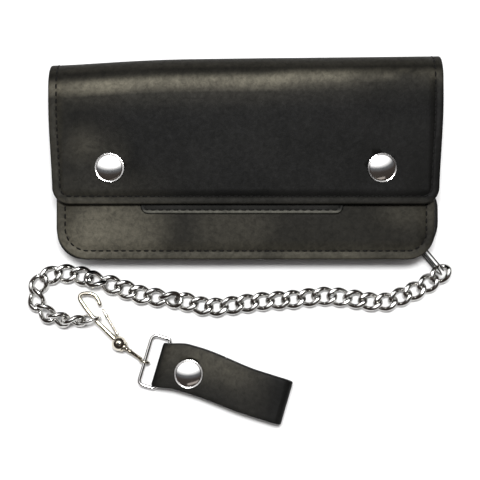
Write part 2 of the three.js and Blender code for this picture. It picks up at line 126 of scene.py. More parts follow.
# ---- camera and light -------------------------------------------------------------------------------
CAMERA_TARGET = Vector((-2.9, -41.0, 0)) * MM
CAMERA_DISTANCE = 0.55
CAMERA_ELEVATION = radians(87)
FIELD_OF_VIEW = radians(25.5)


def aimed(obj, target):
    obj.rotation_euler = (target - obj.location).to_track_quat("-Z", "Y").to_euler()


def make_camera():
    camera = bpy.data.objects.new("camera", bpy.data.cameras.new("camera"))
    camera.data.angle = FIELD_OF_VIEW
    camera.data.clip_start = 0.01
    back = Vector((0, -cos(CAMERA_ELEVATION), sin(CAMERA_ELEVATION)))
    camera.location = CAMERA_TARGET + back * CAMERA_DISTANCE
    aimed(camera, CAMERA_TARGET)
    bpy.context.collection.objects.link(camera)
    bpy.context.scene.camera = camera


def softbox(name, location, size, power, color=(1, 1, 1)):
    light = bpy.data.lights.new(name, "AREA")
    light.shape = "RECTANGLE"
    light.size, light.size_y = size
    light.energy = power
    light.color = color
    obj = bpy.data.objects.new(name, light)
    obj.location = location
    aimed(obj, CAMERA_TARGET)
    bpy.context.collection.objects.link(obj)


CEILING_DIRECTION = Vector((-0.05, 0.333, 0.941)).normalized()
CEILING_STRETCH = (0.62, 1.0, 1.0)  # the lit part is wider across the room
ROOM = (  # how light the room is at each cosine of the angle from CEILING_DIRECTION
    (0.3, (0.02, 0.016, 0.014, 1)),
    (0.8, (0.035, 0.029, 0.026, 1)),
    (0.885, (0.09, 0.094, 0.1, 1)),
    (0.95, (1.0, 1.0, 1.0, 1)),
)
ROOM_STRENGTH = 1.8


def make_world():
    """A dim room with one lit part of the ceiling, so that polished metal shows white beside black."""
    world = bpy.data.worlds.new("room")
    world.use_nodes = True
    nodes, links = world.node_tree.nodes, world.node_tree.links
    coordinates = nodes.new("ShaderNodeTexCoord")
    towards = nodes.new("ShaderNodeVectorMath")
    towards.operation = "DOT_PRODUCT"
    towards.inputs[1].default_value = CEILING_DIRECTION
    stretched = nodes.new("ShaderNodeVectorMath")
    stretched.operation = "MULTIPLY"
    stretched.inputs[1].default_value = CEILING_STRETCH
    unit = nodes.new("ShaderNodeVectorMath")
    unit.operation = "NORMALIZE"
    ramp = nodes.new("ShaderNodeValToRGB")
    links.new(coordinates.outputs["Generated"], stretched.inputs[0])
    links.new(stretched.outputs["Vector"], unit.inputs[0])
    links.new(unit.outputs["Vector"], towards.inputs[0])
    links.new(towards.outputs["Value"], ramp.inputs[0])
    links.new(ramp.outputs["Color"], nodes["Background"].inputs["Color"])
    stops = ramp.color_ramp.elements
    stops.remove(stops[1])
    stops[0].position, stops[0].color = ROOM[0]
    for cosine, color in ROOM[1:]:
        stops.new(cosine).color = color
    nodes["Background"].inputs["Strength"].default_value = ROOM_STRENGTH
    bpy.context.scene.world = world


make_camera()
make_world()
softbox("key", location=(0.0, 0.18, 1.0), size=(0.32, 0.2), power=10.4)
softbox("low_fill", location=(0.1, -0.43, 0.64), size=(0.4, 0.07), power=0.04, color=(1, 0.9, 0.82))
bpy.context.scene.view_settings.view_transform = "Standard"


# ---- materials --------------------------------------------------------------------------------------
class Tree:
    """A material's nodes, with short ways to add and join them."""

    def __init__(self, name):
        self.material = bpy.data.materials.new(name)
        self.material.use_nodes = True
        self.nodes = self.material.node_tree.nodes
        self.links = self.material.node_tree.links
        self.shader = self.nodes["Principled BSDF"]

    def add(self, kind, **inputs):
        node = self.nodes.new("ShaderNode" + kind)
        for name, value in inputs.items():
            self.feed(node.inputs[name.replace("_", " ")], value)
        return node

    def feed(self, socket, value):
        if isinstance(value, bpy.types.NodeSocket):
            self.links.new(value, socket)
        else:
            socket.default_value = value

    def attribute(self, name, output="Fac"):
        node = self.nodes.new("ShaderNodeAttribute")
        node.attribute_name = name
        return node.outputs[output]

    def noise(self, vector, scale, detail=4.0, roughness=0.5, distortion=0.0):
        node = self.add(
            "TexNoise", Vector=vector, Scale=scale, Detail=detail, Roughness=roughness, Distortion=distortion)
        return node.outputs["Fac"]

    def math(self, operation, first, second=0.0):
        node = self.nodes.new("ShaderNodeMath")
        node.operation = operation
        self.feed(node.inputs[0], first)
        self.feed(node.inputs[1], second)
        return node.outputs[0]

    def spread(self, value, low, high, to_low=0.0, to_high=1.0):
        node = self.nodes.new("ShaderNodeMapRange")
        for index, number in enumerate((value, low, high, to_low, to_high)):
            self.feed(node.inputs[index], number)
        return node.outputs[0]

    def mix(self, factor, first, second):
        node = self.nodes.new("ShaderNodeMix")
        node.data_type = "RGBA"
        self.feed(node.inputs["Factor"], factor)
        self.feed(node.inputs[6], first)
        self.feed(node.inputs[7], second)
        return node.outputs[2]

    def bump(self, height, strength, distance, below=None):
        node = self.add("Bump", Height=height, Strength=strength, Distance=distance)
        if below is not None:
            self.feed(node.inputs["Normal"], below)
        return node.outputs["Normal"]

    def shade(self, **inputs):
        for name, value in inputs.items():
            self.feed(self.shader.inputs[name.replace("_", " ")], value)
        return self.material


EDGE_BLACK = (0.0025, 0.0025, 0.0024, 1)


def leather_material(name, dark, light, pale_and_sheen, gloss=0.0):
    """Oiled hide that pales where it is stretched. `flat` holds the point in the flat hide in millimetres; a
    second attribute says where the hide shows paler, partly where it is stretched and partly as painted
    sheen, and takes the third colour there; and `edge` is 1 on its burnished cut edges, whose black also
    holds a painted shadow line."""
    tree = Tree(name)
    flat = tree.attribute("flat", "Vector")
    pull_and_sheen = tree.attribute("pull_and_sheen")
    edge = tree.attribute("edge")
    cloud = tree.noise(flat, 0.03, 4.0, 0.5, 0.4)
    mottle = tree.noise(flat, 0.42, 6.0, 0.7, 0.5)
    grain = tree.noise(flat, 2.3, 4.0, 0.6)
    pores = tree.add("TexVoronoi", Vector=flat, Scale=1.5)
    wrinkle = tree.noise(flat, 0.09, 8.0, 0.62, 1.6)
    tone = tree.spread(tree.math("ADD", cloud, tree.math("MULTIPLY", mottle, 0.5)), 0.6, 1.0)
    colour = tree.mix(tone, dark, light)
    # Paling of stretched hide and painted sheen: the third colour is mixed in where the second attribute
    # says.
    lift = tree.math("MULTIPLY", pull_and_sheen, tree.spread(mottle, 0.3, 0.65, 0.5, 1.15))
    colour = tree.mix(lift, colour, pale_and_sheen)
    # Burnished black cut edges, made blacker to paint the shadow line along each edge.
    colour = tree.mix(tree.math("MULTIPLY", edge, 0.85), colour, EDGE_BLACK)
    roughness = tree.spread(mottle, 0.3, 0.7, 0.58 - gloss, 0.44 - gloss)
    roughness = tree.math("SUBTRACT", roughness, tree.math("MULTIPLY", edge, 0.12))
    normal = tree.bump(wrinkle, 0.35, 0.0004)
    normal = tree.bump(pores.outputs["Distance"], 0.16, 0.00012, normal)
    normal = tree.bump(grain, 0.22, 0.00012, normal)
    return tree.shade(
        Base_Color=colour, Roughness=roughness, Normal=normal, Specular_IOR_Level=0.045,
        Coat_Weight=0.006, Coat_Roughness=0.38)


def thread_material():
    tree = Tree("black_thread")
    place = tree.add("TexCoord").outputs["Object"]
    strand = tree.noise(place, 2600.0, 2.0)
    colour = tree.mix(strand, (0.002, 0.002, 0.002, 1), (0.012, 0.0115, 0.011, 1))
    return tree.shade(
        Base_Color=colour, Roughness=tree.spread(strand, 0.3, 0.7, 0.55, 0.75),
        Normal=tree.bump(strand, 0.5, 0.0001), Specular_IOR_Level=0.1)


def chrome_material(name, colour, rough):
    tree = Tree(name)
    place = tree.add("TexCoord").outputs["Object"]
    smear = tree.noise(place, 260.0, 3.0)
    scratch = tree.noise(place, 1900.0, 5.0, 0.7, 1.2)
    tint = tree.mix(tree.spread(smear, 0.4, 0.7), colour, tuple(c * 0.93 for c in colour[:3]) + (1,))
    return tree.shade(
        Base_Color=tint, Metallic=1.0, Roughness=tree.spread(scratch, 0.35, 0.7, rough, rough + 0.09),
        Normal=tree.bump(scratch, 0.06, 0.00002))


# The last colour of each hide is that of its pale stretched parts and of its painted sheen.
HIDE = leather_material(
    "black_pullup_hide", (0.0032, 0.0032, 0.003, 1), (0.0072, 0.007, 0.0065, 1), (0.15, 0.138, 0.105, 1))
POCKET_HIDE = leather_material(
    "pocket_hide", (0.012, 0.012, 0.011, 1), (0.024, 0.0235, 0.022, 1), (0.15, 0.145, 0.12, 1))
# Its dark base is left showing as painted shade where the painted sheen stops, at the fold and the free end.
STRAP_HIDE = leather_material(
    "strap_hide", (0.0055, 0.0055, 0.0053, 1), (0.012, 0.012, 0.0113, 1), (0.11, 0.102, 0.08, 1), 0.04)
LINING = leather_material(
    "black_lining", (0.006, 0.006, 0.006, 1), (0.012, 0.0118, 0.0115, 1), (0.03, 0.03, 0.028, 1))
THREAD = thread_material()
CHROME = chrome_material("chrome", (0.74, 0.73, 0.72, 1), 0.05)
HOOK_CHROME = chrome_material("hook_chrome", (0.7, 0.655, 0.56, 1), 0.1)
EYE_CHROME = chrome_material("eye_chrome", (0.42, 0.385, 0.32, 1), 0.12)
# Painted shade: the split ring's steel is near black, so that it reads as metal lying in shadow.
SHADED_RING_STEEL = chrome_material("shaded_ring_steel", (0.08, 0.078, 0.076, 1), 0.14)
LINK_CHROME = chrome_material("chain_chrome", (0.62, 0.612, 0.595, 1), 0.07)


# ---- flat leather -----------------------------------------------------------------------------------
def quarter(x, y, radius, start, count):
    """A quarter circle round (x, y), counterclockwise from the angle start."""
    angles = [start + pi / 2 * k / count for k in range(count + 1)]
    return [(x + radius * cos(angle), y + radius * sin(angle)) for angle in angles]


def rounded(left, bottom, right, top, radii, step=3.5):
    """Counterclockwise outline; the radii are for bottom left, bottom right, top right and top left."""
    corners = ((left, bottom), (right, bottom), (right, top), (left, top))
    points = []
    for index, ((x, y), radius) in enumerate(zip(corners, radii)):
        centre_x = x + (radius if x == left else -radius)
        centre_y = y + (radius if y == bottom else -radius)
        points += quarter(centre_x, centre_y, radius, pi + pi / 2 * index, max(6, ceil(radius)))
    return densified(points, step)


def densified(points, step):
    dense = []
    for (x0, y0), (x1, y1) in zip(points, points[1:] + points[:1]):
        count = max(1, round(hypot(x1 - x0, y1 - y0) / step))
        dense += [(x0 + (x1 - x0) * k / count, y0 + (y1 - y0) * k / count) for k in range(count)]
    return np.array(dense)


def inwards(outline, inset):
    """The outline moved towards its inside."""
    tangent = np.roll(outline, -1, 0) - np.roll(outline, 1, 0)
    tangent /= np.linalg.norm(tangent, axis=1)[:, None]
    return outline + inset * np.stack([-tangent[:, 1], tangent[:, 0]], 1)


def lines(low, high, step):
    count = max(1, round((high - low) / step))
    return [low + (high - low) * k / count for k in range(1, count)]


def mesh_object(name, bm, material):
    bmesh.ops.recalc_face_normals(bm, faces=bm.faces[:])
    mesh = bpy.data.meshes.new(name)
    bm.to_mesh(mesh)
    bm.free()
    mesh.materials.append(material)
    mesh.shade_smooth()
    obj = bpy.data.objects.new(name, mesh)
    bpy.context.collection.objects.link(obj)
    return obj


EDGE_STEPS = 5
GROOVE = {"width": 0.7, "depth": 0.3}


def face_profile(half, edge, groove):
    """Insets and heights from the middle of the cut edge to the face, and over a stitching groove that far
    from the edge."""
    quarter = [pi / 2 * k / EDGE_STEPS for k in range(1, EDGE_STEPS + 1)]
    profile = [(edge * (1 - cos(a)), half * sin(a)) for a in quarter]
    if groove:
        for across, down in ((-1, 0), (-0.5, 0.7), (0, 1), (0.5, 0.7), (1, 0)):
            profile.append((groove + across * GROOVE["width"], half - down * GROOVE["depth"]))
    return profile


def punch(obj, holes, depth):
    """Cuts round holes through a flat piece."""
    for x, y, radius in holes:
        bm = bmesh.new()
        bmesh.ops.create_cone(
            bm, cap_ends=True, segments=32, radius1=radius, radius2=radius, depth=4 * depth,
            matrix=Matrix.Translation((x, y, 0)))
        tool = mesh_object("punch", bm, HIDE)
        cutter = obj.modifiers.new("hole", "BOOLEAN")
        cutter.operation, cutter.solver, cutter.object = "DIFFERENCE", "EXACT", tool
        bpy.context.view_layer.update()
        cut = bpy.data.meshes.new_from_object(obj.evaluated_get(bpy.context.evaluated_depsgraph_get()))
        obj.modifiers.clear()
        obj.data = cut
        bpy.data.objects.remove(tool)


def leather(name, outline, thickness, place, material, *, edge=0.9, groove=None, steps=(5, 5), extra=(),
            holes=(), pull_and_sheen=lambda u, v: 0.1):
    """A cut piece of hide with rounded edges, laid by place(u, v, h)."""
    half = thickness / 2
    bm = bmesh.new()
    count = len(outline)

    def loop(inset, height):
        return [bm.verts.new((x, y, height)) for x, y in inwards(outline, inset)]

    middle = loop(0, 0)
    for side, seam in ((1, groove), (-1, None)):
        previous = middle
        for inset, height in face_profile(half, edge, seam):
            current = loop(inset, side * height)
            for i in range(count):
                j = (i + 1) % count
                bm.faces.new((previous[i], previous[j], current[j], current[i]))
            previous = current
        bm.faces.new(previous)
    low, high = outline.min(0), outline.max(0)
    cuts = [((1, 0, 0), (u, 0, 0)) for u in lines(low[0], high[0], steps[0])]
    cuts += [((0, 1, 0), (0, v, 0)) for v in sorted({*lines(low[1], high[1], steps[1]), *extra})]
    for normal, at in cuts:
        geometry = bm.verts[:] + bm.edges[:] + bm.faces[:]
        bmesh.ops.bisect_plane(bm, geom=geometry, plane_co=at, plane_no=normal, dist=1e-4)
    obj = mesh_object(name, bm, material)
    punch(obj, holes, thickness)
    lay(obj, place, outline, pull_and_sheen)
    return obj


EDGE_FADE = (0.28, 0.7)  # the black of a cut edge, burnished and darkened further as a painted shadow line, ends between these distances from it
BACK_PULL_AND_SHEEN = 0.2  # how much of the paling, from stretch and from painted sheen, shows on the inner face


def rim_distance(points, outline):
    """Each point's distance from the nearest side of the outline."""
    start = outline
    side = np.roll(outline, -1, 0) - start
    nearest = np.full(len(points), 1e9)
    for a, d in zip(start, side):
        t = np.clip((points - a) @ d / (d @ d), 0, 1)
        nearest = np.minimum(nearest, np.linalg.norm(points - a - t[:, None] * d, axis=1))
    return nearest


def lay(obj, place, outline, pull_and_sheen):
    """Records each point's place in the flat hide, and moves it to its place in the wallet."""
    mesh = obj.data
    flat = np.empty(len(mesh.vertices) * 3)
    mesh.vertices.foreach_get("co", flat)
    flat = flat.reshape(-1, 3)
    rim = np.clip((EDGE_FADE[1] - rim_distance(flat[:, :2], outline)) / (EDGE_FADE[1] - EDGE_FADE[0]), 0, 1)
    mesh.attributes.new("flat", "FLOAT_VECTOR", "POINT").data.foreach_set("vector", flat.ravel())
    mesh.attributes.new("edge", "FLOAT", "POINT").data.foreach_set("value", rim)
    values = [pull_and_sheen(u, v) if h > 0 else BACK_PULL_AND_SHEEN * pull_and_sheen(u, v) for u, v, h in flat]
    mesh.attributes.new("pull_and_sheen", "FLOAT", "POINT").data.foreach_set("value", values)
    laid = np.array([place(u, v, h) for u, v, h in flat]) * MM
    mesh.vertices.foreach_set("co", laid.ravel())
    bm = bmesh.new()
    bm.from_mesh(mesh)
    bmesh.ops.recalc_face_normals(bm, faces=bm.faces[:])
    bm.to_mesh(mesh)
    bm.free()
    mesh.shade_smooth()


STITCH = {"pitch": 3.8, "length": 2.8, "radius": 0.43, "sides": 6, "bow": 0.42, "sink": 0.3}
STITCH_STATIONS = (-1.0, -0.85, -0.4, 0.0, 0.4, 0.85, 1.0)  # from one end of a stitch to the other


class ClosedLine:
    """A closed line in the flat, measured by its own length."""

    def __init__(self, points):
        self.points = np.vstack([points, points[:1]])
        steps = np.linalg.norm(np.diff(self.points, axis=0), axis=1)
        self.reach = np.concatenate([[0], np.cumsum(steps)])
        self.length = self.reach[-1]

    def at(self, distance):
        distance = distance % self.length
        return np.array([np.interp(distance, self.reach, self.points[:, k]) for k in (0, 1)])


def stitches(name, outline, margin, place, half, *, faces=((1, GROOVE["depth"]),)):
    """A row of thread stitches inside a flat outline. faces gives the sides where they show, and how deep
    they lie there."""
    line = ClosedLine(inwards(outline, margin))
    bm = bmesh.new()
    count = round(line.length / STITCH["pitch"])
    sides = STITCH["sides"]
    for index in range(count):
        centre = (index + 0.5) * line.length / count
        for face, depth in faces:
            rings = []
            for t in STITCH_STATIONS:
                here = line.at(centre + t * STITCH["length"] / 2)
                ahead = line.at(centre + t * STITCH["length"] / 2 + 0.2) - here
                across = np.array([-ahead[1], ahead[0]]) / np.linalg.norm(ahead)
                radius = STITCH["radius"] * (1 - 0.55 * abs(t) ** 6)
                height = half - depth + STITCH["bow"] * (1 - abs(t) ** 3) - STITCH["sink"]
                ring = []
                for k in range(sides):
                    angle = 2 * pi * k / sides
                    u, v = here + across * radius * cos(angle)
                    ring.append(bm.verts.new(Vector(place(u, v, face * (height + radius * sin(angle)))) * MM))
                rings.append(ring)
            skin(bm, rings, closed=False)
    return mesh_object(name, bm, THREAD)


# ---- metal shapes -----------------------------------------------------------------------------------
def skin(bm, rings, closed):
    """Joins a row of rings of points, and caps the ends of an open row."""
    pairs = list(zip(rings, rings[1:] + rings[:1] if closed else rings[1:]))
    for first, second in pairs:
        for i in range(len(first)):
            j = (i + 1) % len(first)
            bm.faces.new((first[i], first[j], second[j], second[i]))
    if not closed:
        bm.faces.new(rings[0][::-1])
        bm.faces.new(rings[-1])


def sweep(bm, path, sizes, *, up=AXIS_Z, closed=False, sides=14, shape=2.0):
    """A bar along the path. sizes gives the half width and half height at each point. Its section is
    round, or squared off where shape is above 2."""
    rings = []
    count = len(path)
    for index, (point, (wide, high)) in enumerate(zip(path, sizes)):
        before = path[index - 1] if closed or index else path[0]
        after = path[(index + 1) % count] if closed or index + 1 < count else path[-1]
        along = (after - before).normalized()
        side = along.cross(up).normalized()
        rise = side.cross(along)
        ring = []
        for k in range(sides):
            angle = 2 * pi * k / sides
            c, s = cos(angle), sin(angle)
            x = wide * abs(c) ** (2 / shape) * (1 if c > 0 else -1)
            y = high * abs(s) ** (2 / shape) * (1 if s > 0 else -1)
            ring.append(bm.verts.new((point + side * x + rise * y) * MM))
        rings.append(ring)
    skin(bm, rings, closed)


def rounded_ends(path, wide, high):
    """Sizes along an open path whose two ends are rounded off."""
    lengths = [0.0]
    for a, b in zip(path, path[1:]):
        lengths.append(lengths[-1] + (b - a).length)
    total = lengths[-1]
    sizes = []
    for s in lengths:
        near = min(s, total - s) / wide
        scale = sqrt(max(1 - (1 - min(near, 1)) ** 2, 0.02))
        sizes.append((wide * scale, high * scale))
    return sizes


def spline(points, count):
    """Points spaced along a smooth curve through the given ones."""
    p = [Vector(q) for q in points]
    p = [2 * p[0] - p[1]] + p + [2 * p[-1] - p[-2]]
    dense = []
    for a, b, c, d in zip(p, p[1:], p[2:], p[3:]):
        for k in range(24):
            t = k / 24
            dense.append(0.5 * (2 * b + (c - a) * t + (2 * a - 5 * b + 4 * c - d) * t * t
                                + (3 * b - a - 3 * c + d) * t ** 3))
    dense.append(p[-2])
    reach = [0.0]
    for a, b in zip(dense, dense[1:]):
        reach.append(reach[-1] + (b - a).length)
    coords = np.array([list(q) for q in dense])
    wanted = np.linspace(0, reach[-1], count)
    return [Vector([np.interp(s, reach, coords[:, k]) for k in range(3)]) for s in wanted]


def revolve(bm, profile, origin, axis=AXIS_Z, segments=48):
    """Turns a profile of (radius, height) round the axis."""
    turn = AXIS_Z.rotation_difference(Vector(axis)).to_matrix()
    rings = []
    for radius, height in profile:
        if radius < 1e-6:
            rings.append([bm.verts.new((origin + turn @ Vector((0, 0, height))) * MM)])
            continue
        ring = []
        for k in range(segments):
            angle = 2 * pi * k / segments
            point = turn @ Vector((radius * cos(angle), radius * sin(angle), height))
            ring.append(bm.verts.new((origin + point) * MM))
        rings.append(ring)
    for first, second in zip(rings, rings[1:]):
        for k in range(segments):
            j = (k + 1) % segments
            corners = [first[k % len(first)], first[j % len(first)], second[j % len(second)],
                       second[k % len(second)]]
            bm.faces.new(list(dict.fromkeys(corners)))


# ---- where leather lies -----------------------------------------------------------------------------
MIDDLE_RADIUS = FOLD_RADIUS - LEATHER / 2
BACK_RUN = FOLD_Y - WALLET_BOTTOM_Y
FOLD_TURN = pi + FRONT_SLOPE
FOLD_RUN = MIDDLE_RADIUS * FOLD_TURN
FLAP_START = BACK_RUN * cos(FRONT_SLOPE) + (FOLD_RADIUS - FRONT_BASE_Z) * sin(FRONT_SLOPE)
SHELL_RUN = BACK_RUN + FOLD_RUN + FLAP_START - FLAP_EDGE
SNAP_V = SHELL_RUN - (SNAP_ROW - FLAP_EDGE)


def wave(x, y, size, seed):
    return noise.noise(Vector((x / size, y / size, seed)))


def in_front(u, up, off):
    """A point of the tilted front section."""
    y = WALLET_BOTTOM_Y + up * cos(FRONT_SLOPE) - off * sin(FRONT_SLOPE)
    return u, y, FRONT_BASE_Z + up * sin(FRONT_SLOPE) + off * cos(FRONT_SLOPE)


def snap_dimple(u, v, row):
    """How far the leather is drawn down beside a snap cap."""
    distance = hypot(abs(u) - SNAP_HALF_SPACING, v - row)
    return SNAP_DIMPLE * (1 - between(SNAP_CAP_RADIUS - 1, SNAP_CAP_RADIUS + 9, distance))


def fold_skew(u):
    """The fold isn't straight: its left end sags and its right end stands proud."""
    return 0.012 * u - 2.4 * between(-30, -104, u)


def shell_waves(u, v):
    """How far the hide's slow waves lift it."""
    return 0.5 * (wave(u, v, 46, 1.0) + 0.5 * wave(u, v, 21, 4.0))


def on_shell(u, v, h):
    """The outer hide: over the back, round the fold and down the flap."""
    if v < BACK_RUN:
        x, y, z = u, WALLET_BOTTOM_Y + v, LEATHER / 2 - h
    elif v < BACK_RUN + FOLD_RUN:
        angle = (v - BACK_RUN) / MIDDLE_RADIUS - pi / 2
        radius = MIDDLE_RADIUS + h
        x, y, z = u, FOLD_Y + radius * cos(angle), FOLD_RADIUS + radius * sin(angle)
    else:
        run = v - BACK_RUN - FOLD_RUN
        off = FLAP_INNER + LEATHER / 2 + h - snap_dimple(u, v, SNAP_V)
        x, y, z = in_front(u, FLAP_START - run, off)
    over = between(BACK_RUN - 20, BACK_RUN + 12, v)
    down = 1 - between(BACK_RUN + FOLD_RUN - 4, SHELL_RUN - 6, v)
    y += fold_skew(u) * over * down
    z += over * shell_waves(u, v)
    z -= 0.8 * over * down * between(-60, -98, u)
    return x, y, z


def on_front(u, v, h):
    """The front panel, a little full in the middle."""
    puff = 0.5 * sin(pi * min(max(v / FRONT_LENGTH, 0), 1)) * (1 - (u / FRONT_HALF_WIDTH) ** 2)
    ripple = 0.25 * wave(u, v, 38, 7.0)
    return in_front(u, v, LEATHER / 2 + h + min(puff + ripple, 0.6))


def on_pocket(u, v, h):
    """The card pocket outside the front panel, which gives way under the flap's waves."""
    give = min(shell_waves(u, BACK_RUN + FOLD_RUN + FLAP_START - v), 0.1)
    return in_front(u, v, POCKET["base"] + POCKET["thickness"] / 2 + h + give)


def shell_pull_and_sheen(u, v):
    """Where the oiled hide shows paler, partly from stretching and partly as painted sheen: in a band along
    the fold, a painted highlight where the flap curves over, that wanders and thins out to the right, beside
    the left snap, at the left side and outside the flap's seam."""
    past_fold = v - BACK_RUN - FOLD_RUN
    crest = past_fold - 0.6 - 0.3 * between(-20, -80, u) + 1.5 * between(5, 30, u) + 0.8 * between(40, 80, u)
    strength = 0.7 - 0.6 * between(26, 78, u) + 0.3 * wave(u, v, 17, 2.0) + 0.2 * wave(u, v, 4, 3.0)
    # painted highlight along the fold's curve, mixed with the paling of stretched hide
    band = strength * between(-4.6, -0.4, crest) * (1 - between(-0.4, 5.5, crest))
    tail = 0.15 * between(-9, -1, crest) * (1 - between(0, 17, crest)) * (1 - 0.6 * between(20, 80, u))
    around = hypot(u + 77, v - SNAP_V + 8)
    left = (0.2 + 0.3 * wave(u, v, 20, 5.0)) * (1 - between(2, 24, around))
    side = 0.14 * between(-88, -95, u) * between(-5, 5, past_fold)
    rim = (0.06 + 0.2 * between(-20, -80, u)) * between(SHELL_RUN - 3.8, SHELL_RUN - 3.2, v)
    lower = 0.1 * between(-25, -75, u) * between(SHELL_RUN - 24, SHELL_RUN - 8, v)
    top_strip = 0.1 * between(-26, -16, past_fold) * (1 - between(-8, -4, past_fold))
    return max(band + tail, left, side, rim, lower, top_strip, 0.0)


def front_paling(u, v):
    """Paler at the left, outside the seam, in the middle, at the right and just above the seam."""
    left = (0.47 + 0.35 * wave(u, v, 26, 9.0)) * between(-22, -62, u) * (1 - between(26, 60, v))
    rim = (0.32 + 0.2 * wave(u, v, 20, 11.0)) * (1 - between(3.0, 3.8, v)) * between(97, 88, u)
    middle = 0.19 * (1 - between(8, 36, abs(u + 6))) * (1 - between(24, 34, v))
    right = 0.2 * between(50, 80, u) * between(8, 20, v)
    above_seam = 0.075 + 0.09 * (1 - between(4.4, 9, v))
    return max(left, rim, middle, right, above_seam)


def pocket_rim_highlight(u, v):
    """A painted highlight on the pocket's lower rim: paler in the narrow strip outside the seam at the
    bottom.
    """
    return 0.6 * between(2.0, 1.4, v - POCKET["bottom"])


# ---- wallet -----------------------------------------------------------------------------------------
SHELL_MARGIN = 4.1
FRONT_MARGIN = 4.4
POCKET_MARGIN = 2.0
FRONT_OVERHANG = 0.6  # how much longer the front panel is at the bottom


def shell_half_width(v):
    """The hide flares towards the fold, and the flap narrows towards its edge."""
    flare = 1.4 * between(BACK_RUN - 10, BACK_RUN + 18, v)
    taper = 2.2 * between(BACK_RUN + FOLD_RUN + 8, SHELL_RUN, v)
    return BACK_HALF_WIDTH + flare - taper


def make_shell():
    radii = (CORNER_RADIUS, CHAIN_CORNER_RADIUS, FLAP_CORNER_RADIUS, FLAP_CORNER_RADIUS)
    outline = rounded(-BACK_HALF_WIDTH, 0, BACK_HALF_WIDTH, SHELL_RUN, radii)
    outline[:, 0] *= [shell_half_width(v) / BACK_HALF_WIDTH for v in outline[:, 1]]
    fold_lines = lines(BACK_RUN - 1, BACK_RUN + FOLD_RUN + 1, 1.0)
    holes = [(side * SNAP_HALF_SPACING, SNAP_V, SNAP_HOLE) for side in (-1, 1)]
    shell = leather(
        "outer_hide", outline, LEATHER, on_shell, HIDE, groove=SHELL_MARGIN, steps=(4, 4),
        extra=fold_lines, holes=holes, pull_and_sheen=shell_pull_and_sheen)
    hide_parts("back_cover", "fold_spine", "flap_cover")
    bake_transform(shell)
    faces = ((1, GROOVE["depth"]), (-1, 0))
    thread = stitches("outer_hide_stitching", outline, SHELL_MARGIN, on_shell, LEATHER / 2, faces=faces)
    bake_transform(thread)


def make_front():
    radii = (CORNER_RADIUS + 2.0, CORNER_RADIUS, 5.5, 5.5)
    outline = rounded(-FRONT_HALF_WIDTH, -FRONT_OVERHANG, FRONT_HALF_WIDTH, FRONT_LENGTH, radii)
    panel = leather(
        "front_hide", outline, LEATHER, on_front, HIDE, groove=FRONT_MARGIN, pull_and_sheen=front_paling)
    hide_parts("front_panel")
    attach(panel, "front")
    thread = stitches("front_hide_stitching", outline, FRONT_MARGIN, on_front, LEATHER / 2)
    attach(thread, "front")


def make_pocket():
    outline = rounded(POCKET["left"], POCKET["bottom"], POCKET["right"], POCKET["top"], (4, 4, 3, 3), 2.5)
    pocket = leather(
        "pocket_hide", outline, POCKET["thickness"], on_pocket, POCKET_HIDE, edge=0.6,
        groove=POCKET_MARGIN, pull_and_sheen=pocket_rim_highlight)
    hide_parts("card_pocket")
    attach(pocket, "front")
    thread = stitches("pocket_stitching", outline, POCKET_MARGIN, on_pocket, POCKET["thickness"] / 2)
    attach(thread, "front")


def make_cards():
    """The stitched card section behind the front panel: three leaves, each lower than the one behind."""
    bottoms = (-1.45, -2.7, -3.9)
    tops = (70, 74.5, 79)
    radii = (CORNER_RADIUS, CORNER_RADIUS, 3, 3)
    for index, (base, top) in enumerate(zip(bottoms, tops)):
        middle = base + CARD_LEATHER / 2
        outline = rounded(-CARD_HALF_WIDTH, 0.5, CARD_HALF_WIDTH, top, radii, 5)
        leaf = leather(
            f"card_leaf_{index + 1}", outline, CARD_LEATHER, lambda u, v, h, z=middle: in_front(u, v, z + h),
            LINING, edge=0.4, steps=(12, 12))
        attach(leaf, "front")
    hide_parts("card_section")


def divider_outline():
    """The bill divider, with a tongue at the lower right corner that holds the grommet."""
    half, top, tongue_top = DIVIDER["half_width"], DIVIDER["top"], DIVIDER["tongue_top"]
    bottom, radius, tongue_radius = WALLET_BOTTOM_Y, CORNER_RADIUS, DIVIDER["tongue_radius"]
    points = quarter(radius - half, bottom + radius, radius, pi, 12)
    points += quarter(TONGUE_HALF_WIDTH - tongue_radius, bottom + tongue_radius, tongue_radius, -pi / 2, 12)
    for k in range(9):
        t = k / 8
        x = (1 - t) ** 2 * TONGUE_HALF_WIDTH + 2 * t * (1 - t) * (TONGUE_HALF_WIDTH - 1.5) + t * t * half
        y = (1 - t) ** 2 * tongue_top + 2 * t * (1 - t) * (tongue_top + 12) + t * t * (tongue_top + 15)
        points.append((x, y))
    corner = 3
    for x, start in ((half - corner, 0), (corner - half, pi / 2)):
        points += quarter(x, top - corner, corner, start, 6)
    return densified(points, 5)


def make_divider():
    """The divider between the two bill compartments, and the hem under its lower edge."""
    middle = DIVIDER["bottom"] + DIVIDER["thickness"] / 2
    divider = leather(
        "divider", divider_outline(), DIVIDER["thickness"], lambda u, v, h: (u, v, middle + h), LINING,
        edge=0.6, steps=(10, 10), holes=[(*GROMMET, GROMMET_HOLE)])
    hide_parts("bill_divider")
    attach(divider, "wallet_back")
    half = HEM["half_width"]
    hem_outline = rounded(
        -half, WALLET_BOTTOM_Y + HEM["low"], half, WALLET_BOTTOM_Y + HEM["high"], (1.5,) * 4)
    hem = leather(
        "divider_hem", hem_outline, HEM["thickness"], lambda u, v, h: (u, v, HEM["middle"] + h), LINING,
        edge=1.0, steps=(12, 12))
    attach(hem, "wallet_back")


